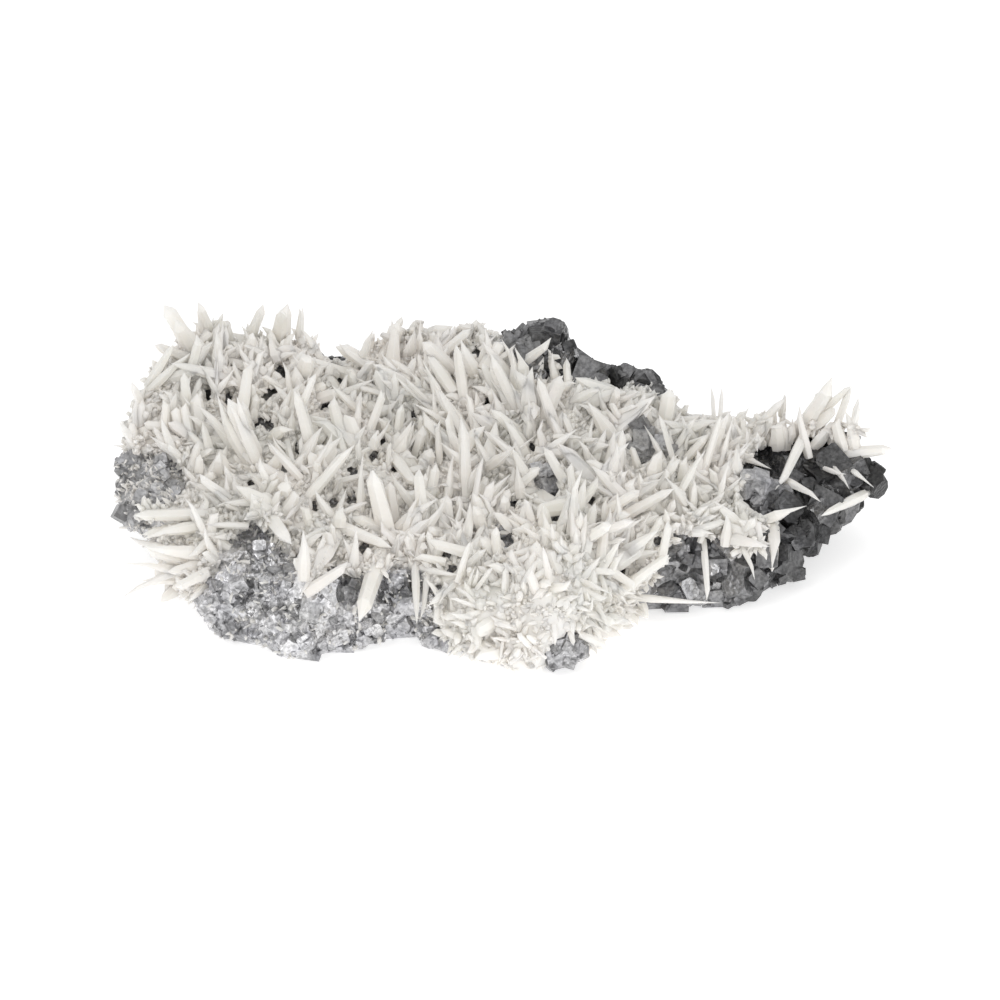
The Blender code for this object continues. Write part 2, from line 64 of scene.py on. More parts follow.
# ---- the show plane
# The specimen is seen from the front at this height above the horizon. The show plane faces that way,
# and meets the ground at FRONT_Y. A place on it is given as across and up, in millimetres.
SHOW_ELEVATION = math.radians(30)
FRONT_Y = -36.7
ACROSS = np.array((1.0, 0.0, 0.0))
UP = np.array((0.0, math.sin(SHOW_ELEVATION), math.cos(SHOW_ELEVATION)))
OUT = np.array((0.0, -math.cos(SHOW_ELEVATION), math.sin(SHOW_ELEVATION)))
FOOT = np.array((0.0, FRONT_Y, 0.0))
FAR = 200.0

# The specimen's upper outline on the show plane. No small needle reaches past it.
SKYLINE = (
    (-66, 33), (-63, 40), (-61.5, 47), (-59, 53), (-56, 58.5), (-50, 59.5), (-45, 58.5), (-40, 59.5),
    (-34, 58.5), (-31, 53.5), (-28.5, 51), (-25, 51), (-21.5, 52.5), (-19, 57), (-12, 57), (-7, 58),
    (-4, 59.5), (-1.5, 57.5), (2, 55), (5, 53.5), (8, 51), (11, 49.5), (13, 47.5), (20, 47), (24, 47.5),
    (28, 46), (31, 41.5), (35, 43), (40, 43.5), (50, 44), (57, 44), (61, 38.5), (66, 37),
)
# The outline of the galena ridge behind the crust. No small galena crystal reaches past it.
RIDGE_LINE = (
    (-14, 57), (-2, 57.4), (3, 57), (5.4, 58.4), (8, 59), (10, 56.4), (12.6, 53.6), (16, 51), (20, 50.2),
    (21, 51), (25.4, 49.4), (26, 46.5), (28, 44), (31, 40.5), (36, 41), (58, 41), (62, 38.6), (66, 36),
)
# Hollows between the crystals, where galena shows: across, up, width.
HOLLOWS = (
    (-45.6, 56.5, 3.2), (-39.8, 58.2, 2.4), (-38, 50.2, 3.4), (-39.6, 46.4, 3.0), (-50, 46, 2.6),
    (-46.6, 45, 2.4), (-41.2, 41.2, 2.2), (-39.4, 40.6, 2.6), (-30.6, 53.2, 2.6), (-28, 48.6, 2.4),
    (-34.8, 36.4, 2.2), (-36.8, 33.2, 2.6), (-30, 43.8, 2.2), (-20.2, 37.8, 2.6), (-21.8, 35.4, 2.4),
    (-25.2, 33, 2.6), (-18, 33.6, 2.2), (-15.6, 42.8, 2.4), (-25, 28.4, 3.0), (-28.2, 27.6, 2.4),
    (-31.2, 27, 2.2), (-42, 30.6, 2.4), (-56.4, 34.4, 3.0), (-23.2, 20.2, 2.4), (-9.6, 19, 2.6),
    (-8.6, 16.6, 2.2), (-5, 53.2, 2.4), (-3, 44.4, 2.4), (4.8, 37, 2.4), (7, 30.6, 4.6),
    (1.4, 27.6, 2.6), (14.4, 28.2, 3.2), (0.4, 21.4, 4.4), (8.4, 25.2, 2.4), (25.4, 21.2, 3.4),
    (19.4, 16.6, 2.6), (40.4, 33.2, 3.4), (49.4, 34.8, 4.0), (42, 29, 5.2), (23, 36, 5.0),
)
# A hollow wider than this is shallow, with pale galena in it.
SHALLOW_ABOVE = 4.4
# A round cavity in the bare galena of the front: across, up, radius.
CAVITY = (-25.8, 12.8, 2.3)
# Stretches where the galena lies bare, as clockwise outlines on the show plane: the left end, the front,
# the front of the arm, and the arm's end.
BARE_OUTLINES = (
    (
        (-66, 33), (-62, 36), (-57, 36.3), (-54.5, 34.5), (-52.5, 31), (-54, 28), (-57, 26.6), (-61, 26.6),
        (-66, 22),
    ),
    (
        (-50, 13), (-47.5, 17), (-46.5, 21), (-42, 24.5), (-39.5, 24), (-36, 20), (-33.5, 15.5), (-31, 15),
        (-27.5, 16.5), (-24, 15), (-20, 16.5), (-18, 17.5), (-15, 15.5), (-14.8, 9), (-9, 5), (-12, 2),
        (-35, -2), (-52, 4),
    ),
    (
        (27.8, 22.5), (33, 22.8), (36, 19.8), (43, 19), (45.2, 16), (48, 10), (40, 6), (21, 9.8),
        (21.5, 12.5), (24, 14.5), (27, 17), (28.5, 19),
    ),
    (
        (39.5, 34), (44.5, 38.4), (51, 38.6), (56, 38.6), (62, 38.8), (68, 36), (66, 26), (58, 16),
        (45.3, 15), (45.6, 24), (41.5, 25.5), (38.8, 26.4), (41, 30),
    ),
)
# The long crystals that stand clear of the rest: across and up of the root, across and up of the tip, width.
BLADES = (
    # the left rim and the fan at the left foot
    (-52.5, 53, -57.7, 61.3, 3.4), (-50, 56, -51.9, 61.4, 2.0), (-43.5, 55.5, -41.1, 61.3, 2.3),
    (-38.6, 55.5, -37.5, 61.5, 3.0), (-35.3, 56, -34.6, 60.9, 1.3), (-52.5, 51.5, -59.2, 54.4, 2.2),
    (-48, 25.6, -61.2, 25.5, 2.6), (-48, 24, -59.8, 22.2, 2.4), (-49, 19, -59.2, 20.2, 2.8),
    (-49.5, 17.5, -55.5, 16, 2.0), (-49, 16, -54, 13.6, 2.0), (-49, 14, -51.9, 11.2, 1.6),
    # the left half
    (-42.5, 34, -49, 45.3, 2.8), (-44.5, 36, -51.2, 44.4, 2.4), (-41, 33.5, -45.8, 45, 2.2),
    (-42.4, 37.5, -44.2, 44.8, 1.6), (-33.8, 44, -31.6, 49.2, 1.6), (-36.2, 45.5, -37, 51.6, 1.4),
    (-31.8, 35, -34.9, 46.4, 2.2), (-36.8, 39, -34.5, 31.4, 1.5), (-32.8, 28, -24.8, 37.2, 2.2),
    (-42, 29.3, -35, 20.8, 3.0), (-33, 28.6, -36.6, 24, 1.6), (-24.9, 39.8, -24.2, 46.6, 1.5),
    (-22.9, 39, -20.2, 46.4, 1.6), (-28, 45.4, -26.3, 50.6, 1.5), (-21, 49.4, -28.4, 54.4, 2.0),
    (-19.2, 49.5, -18.4, 58.8, 3.2), (-14.6, 53, -14.4, 58.9, 1.4), (-25.4, 50, -22.4, 56.6, 1.6),
    # the star above the front and the crystals that hang from it
    (-27.5, 23, -34, 10.2, 3.0), (-19.6, 22.5, -23.4, 9.2, 3.4), (-28.3, 24, -18.4, 20.2, 2.6),
    (-28.2, 25.2, -22.6, 27.8, 1.4), (-29.2, 30.6, -22.6, 32.4, 1.2), (-28, 24.6, -31.6, 29.6, 1.8),
    (-28.4, 23.6, -33.4, 21.4, 1.5), (-19.2, 22, -22, 33, 3.6), (-18.2, 24, -19.2, 31, 2.4),
    (-16.4, 21.8, -14.8, 28.8, 2.0), (-19.6, 36.8, -14.6, 30.2, 2.4),
    # the middle
    (-12.9, 26, -11.2, 34, 2.0), (-9.6, 27, -8.6, 36, 1.8), (-6.3, 27.6, -6.9, 42, 2.3),
    (-3.6, 26.4, 0.6, 32.8, 2.2), (-6.6, 43.6, -8.1, 54.4, 2.2), (-15.4, 45.3, -8.8, 44.9, 1.9),
    (-13.8, 46.4, -15.6, 49.9, 1.4), (-12.6, 47.2, -12.3, 51.9, 1.8), (-11.4, 46.8, -9.8, 49.6, 1.4),
    (-14.8, 18.6, -14.2, 7.6, 1.6), (-14.4, 16.9, -7.4, 15.6, 1.3), (-12.6, 16.4, -13.4, 8.4, 1.3),
    (-11.6, 17.4, -9.8, 22.6, 1.6), (2.2, 42.8, -2.4, 52.2, 2.0), (3.3, 33.8, -3.4, 39.8, 1.8),
    (1.2, 29.2, 6, 33.4, 1.8), (4, 34, 7.2, 36.4, 1.4), (8.4, 40.6, 5.5, 48.6, 2.2),
    (10.1, 36.8, 6.8, 44, 1.9), (2, 50.4, 8, 54.7, 2.0), (9, 47, 7.6, 53, 1.9),
    (10.9, 45.6, 10.4, 52.2, 1.6),
    # the right half
    (13.4, 40.6, 11.4, 43.6, 1.2), (27, 40, 27.9, 46.8, 2.8), (11.6, 26, 15.8, 31.6, 1.7),
    (13.9, 23, 14.9, 27.6, 2.0), (18.6, 24.6, 28, 30, 2.3), (24.6, 31.4, 25.7, 36.4, 2.8),
    (22.4, 33.6, 21.2, 37, 1.4), (21.4, 26.8, 20.4, 31.4, 2.4), (18.4, 12.6, 27.2, 19, 2.4),
    (25.6, 17.6, 27, 24.6, 1.8), (29.6, 30, 29.9, 35.4, 2.2), (33, 31, 32.3, 36.4, 1.8),
    (31.8, 35.2, 27.6, 37.4, 1.3), (36.4, 28.2, 39.4, 32, 1.6), (35.5, 33, 34.8, 37.2, 1.8),
    # the arm
    (37.6, 36.8, 44.4, 33, 2.4), (51.3, 40.4, 45.6, 29.6, 2.0), (46.8, 31.4, 52.6, 28.2, 1.8),
    (42.2, 24.2, 50.1, 27.4, 1.9), (60.4, 28.8, 52, 25.2, 1.9), (55.4, 35.6, 65.2, 36.6, 2.8),
    (50.3, 40.2, 54.8, 47.6, 2.8), (54.2, 43.4, 58.4, 47.3, 1.4), (52.6, 40.6, 56, 43.6, 2.2),
    (58.2, 38, 59.4, 45.2, 1.2), (46.9, 42.6, 47.4, 45.9, 1.4), (39.6, 43.2, 47, 45.2, 1.8),
    (50.2, 37.5, 55, 35.8, 1.0), (55.6, 33.2, 57.9, 29.8, 1.0), (57.8, 33.4, 62, 30.1, 1.1),
    (54, 33.2, 57, 32, 0.9), (35.8, 21.8, 43.3, 20.4, 2.4), (44.7, 23.8, 44.4, 16.6, 2.5),
    (33, 21, 33.6, 11.4, 1.4), (21.2, 12, 35.8, 10.8, 1.3), (38.4, 22.4, 41.6, 15, 1.2),
)
# The low end of the front, where the quartz is a fine white druse: across, up, half width, half height.
NOSE = (6, 7, 17, 13)
NOSE_WHITE = (1.0, 0.975, 0.925)
NOSE_SHADE = (0.97, 0.935, 0.875)


def stream(number):
    """The random stream of one piece."""
    return np.random.default_rng(SEED + number)


def show_point(across, up, out=0.0):
    """A place on the show plane, or this far out of it."""
    return FOOT + across * ACROSS + up * UP + out * OUT


def on_show_plane(point):
    """Across and up of a point, or of many."""
    from_foot = np.asarray(point) - FOOT
    return from_foot @ ACROSS, from_foot @ UP


def height_of(line, across):
    """How far up an outline lies at a place across."""
    return np.interp(across, [place[0] for place in line], [place[1] for place in line])


def edges_of(outline):
    """The edges of a closed outline, as pairs of places."""
    return zip(outline, outline[1:] + outline[:1])


# ---- the solids as surfaces to stand on
def triangles_of(node):
    """The corners of a node's triangles, in millimetres."""
    mesh = node.data
    mesh.calc_loop_triangles()
    places = np.array([tuple(vertex.co) for vertex in mesh.vertices])
    triangles = np.array([tuple(triangle.vertices) for triangle in mesh.loop_triangles])
    return places[triangles] / MM


def tree_of(corners):
    """The triangles as a tree for rays and nearest places."""
    points = [Vector(point) for point in corners.reshape(-1, 3)]
    faces = [(3 * i, 3 * i + 1, 3 * i + 2) for i in range(len(corners))]
    return BVHTree.FromPolygons(points, faces)


def surface_samples(corners, count, chance):
    """Points spread evenly over these triangles, with their normals."""
    first, second = corners[:, 1] - corners[:, 0], corners[:, 2] - corners[:, 0]
    cross = np.cross(first, second)
    double_area = np.linalg.norm(cross, axis=1)
    number = chance.choice(len(corners), count, p=double_area / double_area.sum())
    share = chance.random((count, 2))
    over = share.sum(axis=1) > 1
    share[over] = 1 - share[over]
    points = corners[number, 0] + share[:, :1] * first[number] + share[:, 1:] * second[number]
    return points, cross[number] / double_area[number, None]


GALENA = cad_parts["galena_matrix"]
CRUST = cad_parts["quartz_crust"]
GALENA_CORNERS = triangles_of(GALENA)
CRUST_CORNERS = triangles_of(CRUST)
GALENA_TREE = tree_of(GALENA_CORNERS)
CRUST_TREE = tree_of(CRUST_CORNERS)


def seen(tree, across, up):
    """Where a look along the show direction meets a tree: place, normal, triangle and way from FAR."""
    return tree.ray_cast(Vector(show_point(across, up, FAR)), -Vector(OUT))


def crust_sites(count, chance, furthest=2.6, with_rim=False):
    """Places on the crust's outside, low enough to be its skin and not the side of one of its crystals.

    The rim is the thin edge where the crust ends on the galena.
    """
    nearest = 0.5
    rim_nearest, rim_furthest = 0.1, 0.9
    # The least cosine of the angle between the surface's normal and the way from the galena.
    skin_facing, rim_facing = 0.5, -0.2
    points, normals = surface_samples(CRUST_CORNERS, count, chance)
    kept = []
    for number, (point, normal) in enumerate(zip(points, normals)):
        foot, _, _, distance = GALENA_TREE.find_nearest(Vector(point))
        facing = normal @ (point - np.array(foot))
        on_skin = nearest < distance < furthest and facing > skin_facing * distance
        on_rim = with_rim and rim_nearest < distance < rim_furthest and facing > rim_facing * distance
        if on_skin or on_rim:
            kept.append(number)
    return points[kept], normals[kept]


def bare_sites(count, chance):
    """Places on the galena that no quartz covers, away from the foot and the underside."""
    cover = 2.5
    foot_height, downward = 0.6, -0.9
    points, normals = surface_samples(GALENA_CORNERS, count, chance)
    in_stretch = in_bare_stretch(points)
    kept = []
    for number, (point, normal) in enumerate(zip(points, normals)):
        if point[2] < foot_height or normal[2] < downward:
            continue
        covered = CRUST_TREE.ray_cast(Vector(point), Vector(normal), cover)[0] is not None
        if not covered or in_stretch[number]:
            kept.append(number)
    return points[kept], normals[kept]


# ---- joined meshes
def unit(vectors):
    """The same directions at a length of one."""
    return vectors / np.linalg.norm(vectors, axis=-1, keepdims=True)


def side_vectors(directions):
    """Two vectors across each direction, at right angles to it and to each other."""
    other = np.where(np.abs(directions[:, 2:]) < 0.9, (0.0, 0.0, 1.0), (1.0, 0.0, 0.0))
    first = unit(np.cross(directions, other))
    return first, np.cross(directions, first)


def linked(name, data):
    """A new object in the scene."""
    made = bpy.data.objects.new(name, data)
    bpy.context.scene.collection.objects.link(made)
    return made


def mesh_of(name, points, faces):
    """A mesh from points in millimetres and lists of faces."""
    mesh = bpy.data.meshes.new(name)
    mesh.from_pydata((points * MM).tolist(), [], faces)
    return mesh


def give_values(mesh, key, values):
    """Stores a named value of each point, for the material."""
    layer = mesh.attributes.new(key, "FLOAT", "POINT")
    layer.data.foreach_set("value", np.asarray(values, np.float32))


def joined_mesh(name, points, pattern, values):
    """One object of many bodies: their points, body after body, the faces of one, and named values."""
    count, per_body = points.shape[:2]
    faces = [tuple(corner + body * per_body for corner in face) for body in range(count) for face in pattern]
    mesh = mesh_of(name, points.reshape(-1, 3), faces)
    for key, value in values.items():
        give_values(mesh, key, value)
    mesh.update()
    made = linked(name, mesh)
    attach(made, "root")
    return made


# A stand of crystals is four arrays: their roots, directions, lengths and widths.
def chosen(stand, kept):
    """Only these crystals of a stand."""
    return tuple(part[kept] for part in stand)


def along(stand, share=1.0):
    """A place on each crystal of a stand, at this share of its length."""
    roots, directions, lengths, _ = stand
    return roots + share * directions * lengths[:, None]


def crystals(name, stand, chance, sides=6, flattest=0.55):
    """Prisms that end in a point, each a closed body that is sunk a little into what it stands on."""
    roots, directions, lengths, widths = stand
    count = len(roots)
    sunk, root_width, tip_lean = 0.5, 0.88, 0.2
    first_shoulder, last_shoulder = 0.62, 0.87
    waist = chance.uniform(0.2, 0.45, count)
    shoulder = chance.uniform(first_shoulder, last_shoulder, count)
    # The nearer the shoulder is to the tip, the wider it is, so that every point is about as sharp.
    taper = 0.32 + 1.7 * (shoulder - first_shoulder) + chance.uniform(0, 0.16, count)
    # How far along the crystal each ring lies, and its width there against the full width.
    rings = ((np.zeros(count), np.full(count, root_width)), (waist, np.ones(count)), (shoulder, taper))
    first, second = side_vectors(directions)
    flatness = chance.uniform(flattest, 1.0, count)
    spin = chance.uniform(0, 2 * math.pi, count)
    turned_first = first * np.cos(spin)[:, None] + second * np.sin(spin)[:, None]
    turned_second = second * np.cos(spin)[:, None] - first * np.sin(spin)[:, None]
    side_radii = chance.uniform(0.86, 1.1, (sides, count))
    rows, along_rows = [], []
    for share, narrow in rings:
        middle = roots + directions * (share * (lengths + sunk) - sunk)[:, None]
        for side in range(sides):
            angle = 2 * math.pi * side / sides
            radius = widths / 2 * narrow * side_radii[side]
            aside = turned_first * (radius * math.cos(angle))[:, None]
            flat_aside = turned_second * (radius * flatness * math.sin(angle))[:, None]
            rows.append(middle + aside + flat_aside)
            along_rows.append(share)
    lean = chance.normal(0, tip_lean, (2, count)) * widths
    rows.append(along(stand) + first * lean[0][:, None] + second * lean[1][:, None])
    along_rows.append(np.ones(count))
    per_crystal = len(rows)
    # The rise is the way from the root, in centimetres.
    values = {
        "rise": (np.stack(along_rows, axis=1) * lengths[:, None]).reshape(-1) / 10,
        "tint": np.repeat(chance.random(count), per_crystal),
    }
    pattern = [tuple(reversed(range(sides)))]
    for side in range(sides):
        following = (side + 1) % sides
        for ring in range(len(rings) - 1):
            low, high = ring * sides, (ring + 1) * sides
            pattern.append((low + side, low + following, high + following, high + side))
        pattern.append((high + side, high + following, per_crystal - 1))
    return joined_mesh(name, np.stack(rows, axis=1), pattern, values)


CORNER_SIGNS = [(x, y, z) for x in (-1, 1) for y in (-1, 1) for z in (-1, 1)]


def galena_bodies(name, local, pattern, middles, edges, axes, chance):
    """Crystals at their places, from points of their own that reach from -1 to 1."""
    points = middles[:, None] + np.einsum("cij,cjk->cik", local * edges[:, None, None] / 2, axes)
    tint = np.repeat(chance.random(len(middles)), local.shape[1])
    return joined_mesh(name, points, pattern, {"tint": tint})


def cubes(name, middles, edges, axes, chance):
    """Galena crystals: cubes with their corners a little astray, as joined closed bodies."""
    corners = np.array(CORNER_SIGNS, float)
    faces_of_cube = ((0, 1, 3, 2), (4, 6, 7, 5), (0, 4, 5, 1), (2, 3, 7, 6), (0, 2, 6, 4), (1, 5, 7, 3))
    local = corners[None] * chance.uniform(0.75, 1.2, (len(middles), 1, 3))
    return galena_bodies(name, local, faces_of_cube, middles, edges, axes, chance)


def blocks(name, middles, edges, axes, chance):
    """Larger galena crystals: cubes whose corners are cut off, as joined closed bodies."""
    count = len(middles)
    corners = np.array([sign for sign in CORNER_SIGNS for _ in range(3)], float)
    # Each corner of the cube makes three points, each of them moved along one axis.
    cut_axis = np.tile(np.eye(3), (8, 1))
    corner_cut = chance.uniform(0.12, 0.62, (count, 1, 1))
    local = corners[None] * (1 - corner_cut * cut_axis[None])
    local = local * chance.uniform(0.8, 1.2, (count, 1, 3))
    pattern = []
    for number, sign in enumerate(CORNER_SIGNS):
        triple = (3 * number, 3 * number + 1, 3 * number + 2)
        pattern.append(triple if sign[0] * sign[1] * sign[2] > 0 else triple[::-1])
    half_cut = corners * (1 - 0.5 * cut_axis)
    for axis in range(3):
        for sign in (-1, 1):
            around = np.flatnonzero((corners[:, axis] == sign) & (cut_axis[:, axis] == 0)).tolist()
            first, second = (axis + 1) % 3, (axis + 2) % 3
            around.sort(key=lambda point: math.atan2(half_cut[point, second], half_cut[point, first]))
            pattern.append(tuple(around) if sign > 0 else tuple(reversed(around)))
    return galena_bodies(name, local, pattern, middles, edges, axes, chance)


def right_angled(first, second):
    """Three axes for each pair of vectors: along the first, across both, and across those two."""
    first = unit(first)
    across = unit(np.cross(first, second))
    return np.stack((first, across, np.cross(first, across)), axis=1)


def random_axes(count, chance):
    """Right-angled axes with a random turn, one set for each crystal."""
    return right_angled(chance.normal(size=(count, 3)), unit(chance.normal(size=(count, 3))))


# ---- quartz
# The solids' box, and how far past it a small crystal may reach.
LOW = np.array(cad_low) / MM
HIGH = np.array(cad_high) / MM
MARGIN = 0.01 * (HIGH - LOW)


def fitting(stand, shortest, under_skyline=True):
    """Shortens the crystals that reach past the skyline, the ground or the box, and drops short ones."""
    roots, directions, lengths, widths = stand
    lengths = lengths.copy()
    lowest_tip = 0.8
    rounds, shortening = 8, 0.8

    def out_of_place():
        tips = along((roots, directions, lengths, widths))
        across, up = on_show_plane(tips)
        past = (under_skyline & (up > height_of(SKYLINE, across))) | (tips[:, 2] < lowest_tip)
        return past | ((tips > HIGH + MARGIN) | (tips < LOW - MARGIN)).any(axis=1)

    for _ in range(rounds):
        lengths[out_of_place()] *= shortening
    kept = (lengths > shortest) & ~out_of_place()
    return chosen((roots, directions, lengths, widths), kept)


def clear_of_hollows(stand):
    """Drops each crystal that would cross the view into a hollow."""
    start = np.array(on_show_plane(stand[0])).T
    run = np.array(on_show_plane(along(stand))).T - start
    # The shares of a shallow and of a deep hollow's width, and of a crystal's width, that stay free.
    shallow_free, deep_free, crystal_free = 0.42, 0.18, 0.3
    kept = np.ones(len(start), bool)
    for across, up, width in HOLLOWS:
        middle = np.array((across, up))
        share = np.clip(((middle - start) * run).sum(axis=1) / (run**2).sum(axis=1), 0, 1)
        gap = np.linalg.norm(start + share[:, None] * run - middle, axis=1)
        free = shallow_free if width > SHALLOW_ABOVE else deep_free
        kept &= gap > free * width + crystal_free * stand[3]
    return chosen(stand, kept)


def inside(outline, across, up):
    """Which places lie inside an outline."""
    within = np.zeros(np.shape(across), bool)
    for (from_x, from_y), (to_x, to_y) in edges_of(outline):
        crosses = (from_y > up) != (to_y > up)
        with np.errstate(divide="ignore", invalid="ignore"):
            at = from_x + (up - from_y) * (to_x - from_x) / (to_y - from_y)
        within ^= crosses & (across < at)
    return within


def in_bare_stretch(points, wander=0.0):
    """Which points lie in a bare stretch, whose edges may wander by this much, in waves of about 3 mm."""
    up_waves, across_waves = 2.3, 1.9
    across, up = on_show_plane(points)
    across, up = across + wander * np.sin(up_waves * up), up + wander * np.sin(across_waves * across)
    within = np.zeros(len(points), bool)
    for outline in BARE_OUTLINES:
        within |= inside(outline, across, up)
    return within


def clear_of_bare(stand, shares=(0.5, 1.0), wander=0.8):
    """Drops each crystal that crosses the view of a bare stretch, at these shares of its length."""
    kept = np.ones(len(stand[0]), bool)
    for share in shares:
        kept &= ~in_bare_stretch(along(stand, share), wander)
    return chosen(stand, kept)


def clear_of_blades(stand):
    """Drops each crystal that would cross the view of a long one."""
    tips = along(stand)
    # Near its root a long crystal stands in the crust, and others may cross it there.
    root_share = 0.3
    kept = np.ones(len(tips), bool)
    for root_across, root_up, tip_across, tip_up, width in BLADES:
        start = np.array((root_across, root_up))
        run = np.array((tip_across, tip_up)) - start
        for points in (tips, (stand[0] + tips) / 2):
            place = np.stack(on_show_plane(points), axis=1)
            share = (place - start) @ run / (run @ run)
            gap = np.linalg.norm(place - start - np.clip(share, 0, 1)[:, None] * run, axis=1)
            kept &= (gap > 0.5 * width) | (share < root_share) | (share > 1)
    return chosen(stand, kept)


def in_nose(points, grow=1.0):
    """Which points lie on the nose, or on one that is this much larger."""
    across, up = on_show_plane(points)
    return ((across - NOSE[0]) / (NOSE[2] * grow)) ** 2 + ((up - NOSE[1]) / (NOSE[3] * grow)) ** 2 < 1


def growth(points, normals):
    """The way crystals grow at each place: up and away from the middle, and more outward near the foot."""
    sideways, backwards, upwards = 90, 60, 0.8
    foot_top, foot_depth = 24, 12
    away = np.stack(
        (points[:, 0] / sideways, points[:, 1] / backwards, np.full(len(points), upwards)), axis=1
    )
    _, up = on_show_plane(points)
    at_foot = np.clip((foot_top - up) / foot_depth, 0, 1)[:, None]
    outward, more_at_foot = 0.5, 0.7
    return unit(unit(away) * (1 - more_at_foot * at_foot) + (outward + more_at_foot * at_foot) * normals)


def fanned(axes, chance, opening):
    """Directions within an angle of their axes, spread evenly round them."""
    count = len(axes)
    first, second = side_vectors(axes)
    tilt = opening * np.sqrt(chance.random(count))[:, None]
    turn = chance.uniform(0, 2 * math.pi, count)[:, None]
    made = axes * np.cos(tilt) + (first * np.cos(turn) + second * np.sin(turn)) * np.sin(tilt)
    # The crystals lie across the show direction more often than along it.
    flattening = 0.6
    return unit(made - flattening * (made @ OUT)[:, None] * OUT)


def rooted(stand, normals, least):
    """Drops the crystals whose rise from the crust, as a cosine, is less than this."""
    return chosen(stand, (stand[1] * normals).sum(axis=1) > least)


def spray_crystals(middles, normals, chance, in_each, longest, widest):
    """Bursts of crystals, each fanned out from nearly one place. They are small on the nose."""
    on_nose = in_nose(middles, grow=0.95)
    nose_length, nose_width = 0.6, 0.65
    narrowest_fan, widest_fan = 0.5, 1.45
    outward, axis_scatter, root_scatter = 0.6, 0.5, 0.8
    least_length, least_width = 0.55, 0.65
    aside = chance.normal(0, axis_scatter, middles.shape)
    axes = unit(growth(middles, normals) + outward * normals + aside)
    sizes = chance.uniform(*longest, len(middles)) * np.where(on_nose, nose_length, 1.0)
    thickness = chance.uniform(*widest, len(middles)) * np.where(on_nose, nose_width, 1.0)
    made = []
    for middle, normal, axis, size, thick in zip(middles, normals, axes, sizes, thickness):
        count = chance.integers(*in_each)
        opening = chance.uniform(narrowest_fan, widest_fan)
        directions = fanned(np.repeat(axis[None], count, axis=0), chance, opening)
        lengths = size * chance.uniform(least_length, 1.0, count)
        widths = thick * chance.uniform(least_width, 1.0, count)
        roots = middle + chance.normal(0, root_scatter, (count, 3))
        made.append((roots, directions, lengths, widths, np.repeat(normal[None], count, axis=0)))
    stand = tuple(np.concatenate(part) for part in zip(*made))
    return rooted(stand[:4], stand[4], least=0.05)


def scattered(roots, normals, directions, chance, lengths, widths, least=0.15):
    """Single crystals whose lengths and widths are drawn from two ranges."""
    count = len(roots)
    stand = (roots, directions, chance.uniform(*lengths, count), chance.uniform(*widths, count))
    return rooted(stand, normals, least)


def clear_of_all(stand, shortest):
    """Keeps the crystals inside the outline and out of the hollows, the bare stretches and the blades."""
    return clear_of_blades(clear_of_bare(clear_of_hollows(fitting(stand, shortest))))


def in_cavity(points, grow=1.0):
    """Which points lie in the cavity, or in one that is this much larger."""
    across, up = on_show_plane(points)
    return np.hypot(across - CAVITY[0], up - CAVITY[1]) < grow * CAVITY[2]


def surface_out(across, up):
    """How far out the specimen's surface lies at a place on the show plane, or None beside it."""
    bare = in_bare_stretch(show_point(across, up)[None])[0]
    trees = (GALENA_TREE,) if bare else (CRUST_TREE, GALENA_TREE)
    depths = [depth for tree in trees if (depth := seen(tree, across, up)[3]) is not None]
    return FAR - min(depths) if depths else None


def top_out(across, up):
    """The same with the small galena crystals that cover the bare stretches."""
    crystal_height = 0.7
    out = surface_out(across, up)
    place = show_point(across, up)[None]
    if out is None or not in_bare_stretch(place)[0]:
        return out
    return out + crystal_height * grain_of(place)[1][0]


def blade(root_across, root_up, tip_across, tip_up, width):
    """Root, direction and length of a long crystal that clears the surface in front of its root."""
    start = np.array((root_across, root_up))
    run = np.array((tip_across, tip_up)) - start
    reach = np.linalg.norm(run)
    root_out = top_out(*start)
    if root_out is None:
        return None
    least_rise, most_rise = 0.1, 1.3
    clearance, sunk = 0.55 * width, 0.2 * width
    rise = least_rise
    # It may touch the surface up to this share of its length.
    touching, steps = 0.3, 8
    for share in np.linspace(touching, 1.0, steps):
        out = top_out(*(start + share * run))
        if out is not None:
            rise = max(rise, (out + clearance - root_out) / (share * reach))
    rise = min(rise, most_rise)
    root = show_point(*start, (surface_out(*start) + root_out) / 2 - sunk)
    tip = show_point(tip_across, tip_up, root_out + rise * reach)
    return root, unit(tip - root), np.linalg.norm(tip - root)


def make_blades():
    """The long crystals of BLADES."""
    chance = stream(8)
    made = [(*found, row[4]) for row in BLADES if (found := blade(*row)) is not None]
    stand = tuple(np.array(part) for part in zip(*made))
    stand = fitting(stand, shortest=1.0, under_skyline=False)
    return crystals("quartz_blades", stand, chance, flattest=0.85)


def make_sprays(name, number, tried, count, shortest, **sizes):
    """This many clusters of the crust, at the first of the places that are found on it."""
    chance = stream(number)
    points, normals = crust_sites(tried, chance)
    stand = spray_crystals(points[:count], normals[:count], chance, **sizes)
    return crystals(name, clear_of_all(stand, shortest), chance)


def make_stubs():
    """Short crystals at every angle, that fill the crust between the clusters."""
    chance = stream(1)
    roots, normals = crust_sites(2200, chance)
    directions = fanned(unit(growth(roots, normals) + normals), chance, opening=1.3)
    stand = scattered(roots, normals, directions, chance, lengths=(2.0, 4.6), widths=(1.2, 2.6))
    return crystals("quartz_stubs", clear_of_all(stand, shortest=0.6), chance)


